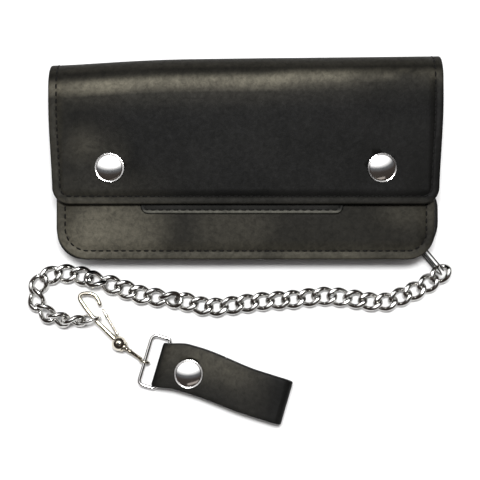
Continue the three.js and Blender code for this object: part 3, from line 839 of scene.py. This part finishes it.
def make_gussets():
    """Folded strips at the sides, crease inwards; on the wallet they spread when the front lifts, but these
    are fixed.
    """
    bottom, top, thickness = -11.5, 30.0, 1.1
    for name, side in (("gusset_left", -1), ("gusset_right", 1)):
        low_z = LEATHER + 0.3 + thickness / 2

        def along(y):
            high_z = FRONT_BASE_Z + (y - WALLET_BOTTOM_Y) * sin(FRONT_SLOPE) - 0.4 - thickness / 2
            middle = (low_z + high_z) / 2
            bend = [(95.2, low_z), (93.4, low_z), (88.5, low_z + 1.2), (85.6, middle - 1.2), (85.0, middle),
                    (85.6, middle + 1.2), (88.0, high_z - 1.2), (91.6, high_z), (93.6, high_z)]
            return spline([(side * x, y, z) for x, z in bend], 28)

        bm = bmesh.new()
        rings = []
        for k in range(15):
            y = bottom + (top - bottom) * k / 14
            path = along(y)
            normals = []
            for a, b in zip([path[0]] + path[:-1], path[1:] + [path[-1]]):
                normals.append((b - a).cross(Vector((0, 1, 0))).normalized())
            outer = [p + n * thickness / 2 for p, n in zip(path, normals)]
            inner = [p - n * thickness / 2 for p, n in zip(path, normals)]
            rings.append([bm.verts.new(p * MM) for p in outer + inner[::-1]])
        skin(bm, rings, closed=False)
        gusset = mesh_object(f"side_{name}", bm, LINING)
        note_flat(gusset)
        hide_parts(name)
        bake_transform(gusset)


def note_flat(obj):
    """Gives a piece that wasn't cut flat its own coordinates in millimetres for the hide's pattern."""
    coords = np.empty(len(obj.data.vertices) * 3)
    obj.data.vertices.foreach_get("co", coords)
    obj.data.attributes.new("flat", "FLOAT_VECTOR", "POINT").data.foreach_set("vector", coords / MM)


CAP_PROFILE = (  # radius and height of a low dome, a groove and a rolled rim
    (0, 1.86), (1.5, 1.812), (3.0, 1.669), (4.2, 1.483), (5.2, 1.28), (6.0, 1.084), (6.4, 0.97),
    (6.55, 0.85), (6.66, 0.62), (6.76, 0.55), (6.88, 0.64), (7.0, 0.79), (7.12, 0.84), (7.25, 0.79),
    (7.35, 0.62), (7.4, 0.4), (7.34, 0.2), (7.1, 0.02), (0, 0.0),
)


def make_cap(name, origin, axis, body, node):
    bm = bmesh.new()
    revolve(bm, CAP_PROFILE, origin, axis, 64)
    cap = mesh_object(name, bm, CHROME)
    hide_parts(node)
    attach(cap, body)


CAP_LEANS = {"left": (0.4, 1.2), "right": (3.2, 1.8)}  # degrees down and right: none is riveted square


def make_caps():
    for name, side in (("left", -1), ("right", 1)):
        down, right = (radians(degrees) for degrees in CAP_LEANS[name])
        angle = FRONT_SLOPE + down
        axis = Vector((sin(right), -sin(angle), cos(angle))).normalized()
        origin = Vector(in_front(side * SNAP_HALF_SPACING, SNAP_ROW, FLAP_INNER + LEATHER + 0.1))
        make_cap(f"cap_{name}", origin, axis, "flap", f"snap_cap_{name}")
    make_cap("cap_fob", in_fob(FOB_SNAP, 0, FOB_TOP_Z + 0.1), AXIS_Z, "fob_upper", "fob_snap_cap")


# ---- split ring and chain ---------------------------------------------------------------------------
def make_split_ring():
    """Nearly two turns of flat wire, side by side, with one step over between them."""
    direction = Vector(SPLIT_RING["direction"]).normalized()
    sideways = direction.cross(AXIS_Z)
    length, height, wire = SPLIT_RING["length"], SPLIT_RING["height"], SPLIT_RING["wire"]
    radius = (height - wire) / 2
    straight = length - height
    start = Vector((*GROMMET, SPLIT_RING["bottom"] + height / 2)) - direction * wire
    path = []
    count = 150
    for k in range(count + 1):
        turn = SPLIT_RING["turns"] * k / count
        angle = 2 * pi * turn + 0.6
        x = height / 2 + radius * cos(angle) + (straight if cos(angle) > 0 else 0)
        step = SPLIT_RING["side_step"] * (2 * between(0.58, 0.76, turn) - 1)
        path.append(start + direction * x + AXIS_Z * radius * sin(angle) + sideways * step)
    bm = bmesh.new()
    sweep(bm, path, rounded_ends(path, wire / 2, SPLIT_RING["half_strip"]), up=sideways, sides=12, shape=3)
    ring = mesh_object("split_ring_coil", bm, SHADED_RING_STEEL)
    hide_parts("split_ring")
    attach(ring, "ring")


LINK_TWIST = radians(-51)
LINK = (13.2, 10.2, 2.65, LINK_TWIST)  # length, width, wire and twist
BENT_LINK = (13.8, 10.2, 2.25, LINK_TWIST)  # roomier, where the chain bends most
LAST_LINK = (12.5, 9.2, 1.6, radians(-20))  # passes through the hook
ODD_LINKS = {7: BENT_LINK, 8: BENT_LINK, 32: LAST_LINK}
LINK_FLAT = 0.84  # where the ground faces lie, as a part of the link's half height
LINK_CROWN = 0.15  # how much of what stands above them is left
TURNED_LINKS = {18: radians(-38), 23: radians(42), 32: radians(20)}  # the last leans over in the hook
LOOSE_ROLL = radians(-5)
LINK_REST_Z = 0.05


def link_shape(roll, heading, centre, size):
    """A curb link: an oval of wire twisted so that it lies flat in the chain, ground on both faces. It is
    rolled about the chain and lifted clear of the table."""
    length, width, wire, twist = size
    count = 40
    long, wide = (length - wire) / 2, (width - wire) / 2
    path = []
    for k in range(count):
        angle = 2 * pi * k / count
        lean = twist * cos(angle)
        out = wide * sin(angle)
        path.append(Vector((long * cos(angle), out * cos(lean), out * sin(lean))))
    bm = bmesh.new()
    sweep(bm, path, [(wire / 2, wire / 2)] * count, closed=True, sides=14)
    top = max(v.co.z for v in bm.verts) * LINK_FLAT
    for v in bm.verts:
        excess = abs(v.co.z) - top
        if excess > 0:
            v.co.z = (top + excess * LINK_CROWN) * (1 if v.co.z > 0 else -1)
    turn = Matrix.Translation(centre) @ Matrix.Rotation(heading, 4, "Z") @ Matrix.Rotation(roll, 4, "X")
    bmesh.ops.transform(bm, matrix=turn, verts=bm.verts[:])
    sunk = LINK_REST_Z * MM - min(v.co.z for v in bm.verts)
    if sunk > 0:
        bmesh.ops.translate(bm, vec=(0, 0, sunk), verts=bm.verts[:])
    return bm


CHAIN_BODIES = (("chain_a", 8), ("chain_b", 16), ("chain_c", 24), ("chain_d", 33))  # and their last links


def make_chain():
    """Each link sits where its CAD link is, and the last ones roll over to stand up in the hook."""
    names = [f"link_{i + 1:02d}" for i in range(LINK_COUNT)]
    centres = []
    for name in names:
        low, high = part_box(name)
        centres.append((low + high) / 2)
    for i, name in enumerate(names):
        before, after = centres[max(i - 1, 0)], centres[min(i + 1, LINK_COUNT - 1)]
        heading = atan2(after.y - before.y, after.x - before.x)
        rolled = max(0, i - (LINK_COUNT - 1 - ROLLED_LINKS)) / ROLLED_LINKS
        roll = TURNED_LINKS.get(i, LOOSE_ROLL * sin(2.4 * i)) + rolled * pi / 2
        size = ODD_LINKS.get(i, LINK)
        link = mesh_object(f"curb_{name}", link_shape(roll, heading, centres[i], size), LINK_CHROME)
        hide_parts(name)
        body = next(body for body, last in CHAIN_BODIES if i < last)
        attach(link, body)


# ---- trigger hook -----------------------------------------------------------------------------------
STRAP_ALONG = Vector((cos(FOB_ANGLE), sin(FOB_ANGLE), 0))
STRAP_ACROSS = Vector((-sin(FOB_ANGLE), cos(FOB_ANGLE), 0))


def in_fob(along, across, z):
    point = FOB_BAR + STRAP_ALONG * along + STRAP_ACROSS * across
    return Vector((point.x, point.y, z))


EYE_CENTRE = in_fob(-STRAP_RING["depth"], EYE["offset"], FOB_BAR.z)
SWIVEL = (EYE_CENTRE - BARREL).normalized()


HOOK_ARM = (
    (-66.4, -92.6), (-71.9, -87.3), (-77.7, -81.6), (-83.9, -73.6), (-85.2, -70.7), (-84.2, -69.1),
    (-81.4, -68.6), (-78.4, -69.2), (-76.2, -71.2), (-74.4, -75.2),
)
HOOK_WIRE = 0.95
ARM_SECTION = (1.1, 0.88)  # the arm is a little wider than the wire and not as high
BALL_RADIUS = 3.8
HOOK_COLLAR = (
    (2.9, 2.75), (3.05, 3.0), (2.9, 3.25), (2.35, 3.35), (2.5, 3.6), (2.35, 3.85), (1.6, 3.9), (1.45, 3.4),
    (1.45, -0.6), (0, -0.6),
)


def make_hook():
    """A bent arm that thickens towards the ball, the ball with the swivel's collar, and a small rivet."""
    path = spline([(x, y, HOOK_Z) for x, y in HOOK_ARM], 90)
    sizes = []
    for k, (wide, high) in enumerate(rounded_ends(path, HOOK_WIRE, HOOK_WIRE)):
        thick = 1 + 0.35 * (1 - between(0, 0.35, k / (len(path) - 1)))
        sizes.append((ARM_SECTION[0] * wide * thick, ARM_SECTION[1] * high * thick))
    bm = bmesh.new()
    sweep(bm, path, sizes, sides=16)
    ball = [(0.0, -BALL_RADIUS)]
    for k in range(1, 17):
        angle = -pi / 2 + pi * k / 20
        ball.append((BALL_RADIUS * cos(angle), BALL_RADIUS * sin(angle)))
    revolve(bm, ball + list(HOOK_COLLAR), BARREL, SWIVEL, 40)
    hook = mesh_object("hook_arm", bm, HOOK_CHROME)
    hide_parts("hook_body")
    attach(hook, "hook")
    bm = bmesh.new()
    revolve(bm, [(0, 0.5), (0.55, 0.45), (0.75, 0.2), (0.75, 0.0), (0, -0.2)], BARREL + Vector((0, 0, 3.6)))
    rivet = mesh_object("hook_rivet", bm, shadowed_rivet_steel())
    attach(rivet, "hook")


# Painted shade: the rivet on the ball is near-black metal that stands for the shadowed hole there.
def shadowed_rivet_steel():
    tree = Tree("shadowed_steel")
    place = tree.add("TexCoord").outputs["Object"]
    speckle = tree.noise(place, 900.0, 4.0)
    colour = tree.mix(speckle, (0.02, 0.019, 0.018, 1), (0.07, 0.065, 0.06, 1))
    return tree.shade(Base_Color=colour, Metallic=0.8, Roughness=tree.spread(speckle, 0.3, 0.7, 0.3, 0.5))


GATE_SECTION = (0.62, 0.8)


def make_gate():
    """The thin sprung lever that closes the throat, with a thumb notch near its tip."""
    path = spline([GATE_PIVOT, GATE_PIVOT.lerp(GATE_TIP, 0.5), GATE_TIP], 60)
    sizes = []
    for k, (wide, high) in enumerate(rounded_ends(path, *GATE_SECTION)):
        t = k / (len(path) - 1)
        notch = 0.35 * (between(0.66, 0.7, t) - between(0.73, 0.77, t))
        sizes.append((wide + notch, high + 0.5 * notch))
    bm = bmesh.new()
    sweep(bm, path, sizes, sides=12, shape=2.6)
    barrel = [(0, -1.2), (0.75, -1.2), (0.95, -1.0), (0.95, 1.0), (0.75, 1.2), (0, 1.2)]
    revolve(bm, barrel, GATE_PIVOT, AXIS_Z, 20)
    gate = mesh_object("gate_lever", bm, HOOK_CHROME)
    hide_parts("hook_gate")
    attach(gate, "gate")


def make_eye():
    """A wire loop on a turned neck that goes into the hook's ball."""
    count = 36
    path = []
    for k in range(count):
        angle = 2 * pi * k / count
        path.append(EYE_CENTRE + (STRAP_ALONG * cos(angle) + AXIS_Z * sin(angle)) * EYE["loop"])
    bm = bmesh.new()
    normal = STRAP_ALONG.cross(AXIS_Z)
    sweep(bm, path, [(EYE["wire"], EYE["wire"])] * count, up=normal, closed=True)
    reach = (EYE_CENTRE - BARREL).length - EYE["loop"] + 0.3
    neck = [(0, 0), (1.1, 0), (1.1, 4.0), (1.35, 4.3), (1.35, 5.2), (1.1, 5.5), (0.95, 6.2), (1.25, 6.6),
            (1.25, 7.3), (1.0, 7.6), (0.95, reach), (0, reach)]
    revolve(bm, neck, BARREL, SWIVEL, 24)
    eye = mesh_object("swivel_loop", bm, EYE_CHROME)
    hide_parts("swivel_eye")
    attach(eye, "eye")


def make_strap_ring():
    """A bent wire frame, a little longer on its far side."""
    depth, half, wire = STRAP_RING["depth"], STRAP_RING["half_width"], STRAP_RING["wire"]
    corners = rounded(-depth, -half, 0, half + STRAP_RING["extra"], (2.6, 2.6, 1.2, 3.0), 1.2)
    path = [in_fob(along, across, FOB_BAR.z) for along, across in corners]
    bm = bmesh.new()
    sweep(bm, path, [(wire, STRAP_RING["flatness"] * wire)] * len(path), closed=True)
    ring = mesh_object("strap_loop", bm, CHROME)
    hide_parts("strap_ring")
    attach(ring, "strap_ring")


# ---- belt-loop fob ----------------------------------------------------------------------------------
FOB_MIDDLE_Z = (FOB_TOP_Z + FOB_BOTTOM_Z) / 2
FOB_ARC = (FOB_TOP_Z - FOB_BOTTOM_Z - FOB_LEATHER) / 2
FOB_UPPER_RUN = FOB_FOLD_AT + FOB_END
FOB_SPLIT = 30.0  # where the two lengths of strap meet on the bottom run
FOB_DROOP = 1.9  # how far the free end of the upper leaf hangs down
BAR_ARC = FOB_BAR.z - FOB_BOTTOM_Z - FOB_LEATHER / 2


def fob_bow(along, u):
    """The strap's slight sideways curve, stronger along its far edge."""
    swell = between(-3, 10, along) * (1 - between(16, 48, along))
    return (1.8 + 0.9 * between(0, 11, u)) * swell - 0.5 * between(30, 66, along)


def on_fob_upper(u, v, h):
    """From the free end of the upper leaf, round the fold and back along the bottom."""
    if v < FOB_UPPER_RUN:
        along = v - FOB_END
        droop = FOB_DROOP * between(3.5, -FOB_END, along) ** 2
        z = FOB_TOP_Z - FOB_LEATHER / 2 + h - droop + 0.2 * wave(along, u, 14, 3.0) * between(4, 14, along)
    elif v < FOB_UPPER_RUN + pi * FOB_ARC:
        angle = pi / 2 - (v - FOB_UPPER_RUN) / FOB_ARC
        along = FOB_FOLD_AT + (FOB_ARC + h) * cos(angle)
        z = FOB_MIDDLE_Z + (FOB_ARC + h) * sin(angle)
    else:
        along = FOB_FOLD_AT - (v - FOB_UPPER_RUN - pi * FOB_ARC)
        z = FOB_BOTTOM_Z + FOB_LEATHER / 2 - h
    return in_fob(along, u + fob_bow(along, u), z)


def on_fob_lower(u, v, h):
    """The rest of the bottom run, round the ring's bar, and the short tab under the snap."""
    if v < FOB_SPLIT:
        along, z = FOB_SPLIT - v, FOB_BOTTOM_Z + FOB_LEATHER / 2 - h
    elif v < FOB_SPLIT + pi * BAR_ARC:
        angle = -pi / 2 - (v - FOB_SPLIT) / BAR_ARC
        along = (BAR_ARC + h) * cos(angle)
        z = FOB_BAR.z + (BAR_ARC + h) * sin(angle)
    else:
        along, z = v - FOB_SPLIT - pi * BAR_ARC, FOB_BAR.z + BAR_ARC + h
    return in_fob(along, u + fob_bow(along, u), z)


def fob_sheen_and_shade(u, v):
    """Painted sheen, paler along the strap's far side and round the snap, and painted shade, darker towards
    the fold and the free end where the strap bends away.
    """
    along = v - FOB_END
    sheen = (0.4 + 0.2 * wave(u, v, 16, 6.0)) * between(-9, 9, u) * (1 - between(28, 60, along))
    body = 0.07 * (1 - between(50, 62, along))
    return max((sheen + body) * between(-2.6, 1.3, along), 0.0)


def make_fob():
    upper_run = FOB_UPPER_RUN + pi * FOB_ARC + FOB_FOLD_AT - FOB_SPLIT
    outline = rounded(-FOB_HALF_WIDTH, 0, FOB_HALF_WIDTH, upper_run - 0.05, (1.2, 1.2, 0.4, 0.4), 2)
    fold_lines = lines(FOB_UPPER_RUN - 0.5, FOB_UPPER_RUN + pi * FOB_ARC + 0.5, 0.5)
    strap = leather(
        "strap_upper", outline, FOB_LEATHER, on_fob_upper, STRAP_HIDE, edge=0.6, steps=(2.5, 2.5),
        extra=fold_lines, holes=[(0, FOB_SNAP + FOB_END, SNAP_HOLE)], pull_and_sheen=fob_sheen_and_shade)
    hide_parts("fob_upper_leaf", "fob_fold")
    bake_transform(strap)
    lower_run = FOB_SPLIT + pi * BAR_ARC + FOB_TAB
    outline = rounded(-FOB_HALF_WIDTH, 0.05, FOB_HALF_WIDTH, lower_run, (0.4, 0.4, 3, 3), 2)
    bar_lines = lines(FOB_SPLIT - 0.5, FOB_SPLIT + pi * BAR_ARC + 0.5, 0.4)
    tab = leather(
        "strap_lower", outline, FOB_LEATHER, on_fob_lower, STRAP_HIDE, edge=0.6, steps=(2.5, 2.5),
        extra=bar_lines, pull_and_sheen=fob_sheen_and_shade)
    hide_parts("fob_lower_leaf")
    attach(tab, "fob_lower")


# ---- carried-over CAD nodes and the table -----------------------------------------------------------
def finish_cad_nodes():
    """The small metal parts stay as the CAD made them."""
    for name in ("grommet", "snap_socket_left", "snap_socket_right", "snap_stud_left", "snap_stud_right",
                 "fob_snap_socket", "fob_snap_stud"):
        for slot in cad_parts[name].material_slots:
            slot.material = CHROME


FLOOR_HALF_SIZE = 1.6  # metres
FLOOR_Z = -0.0001


def make_floor():
    bm = bmesh.new()
    bmesh.ops.create_grid(bm, x_segments=2, y_segments=2, size=FLOOR_HALF_SIZE)
    tree = Tree("pale_table")
    place = tree.add("TexCoord").outputs["Object"]
    weave = tree.noise(place, 120.0, 3.0)
    colour = tree.mix(weave, (0.86, 0.86, 0.86, 1), (0.9, 0.9, 0.9, 1))
    floor = mesh_object("table", bm, tree.shade(Base_Color=colour, Roughness=0.8))
    floor.location.z = FLOOR_Z


make_shell()
make_front()
make_pocket()
make_cards()
make_divider()
make_gussets()
make_caps()
make_split_ring()
make_chain()
make_hook()
make_gate()
make_eye()
make_strap_ring()
make_fob()
finish_cad_nodes()
make_floor()
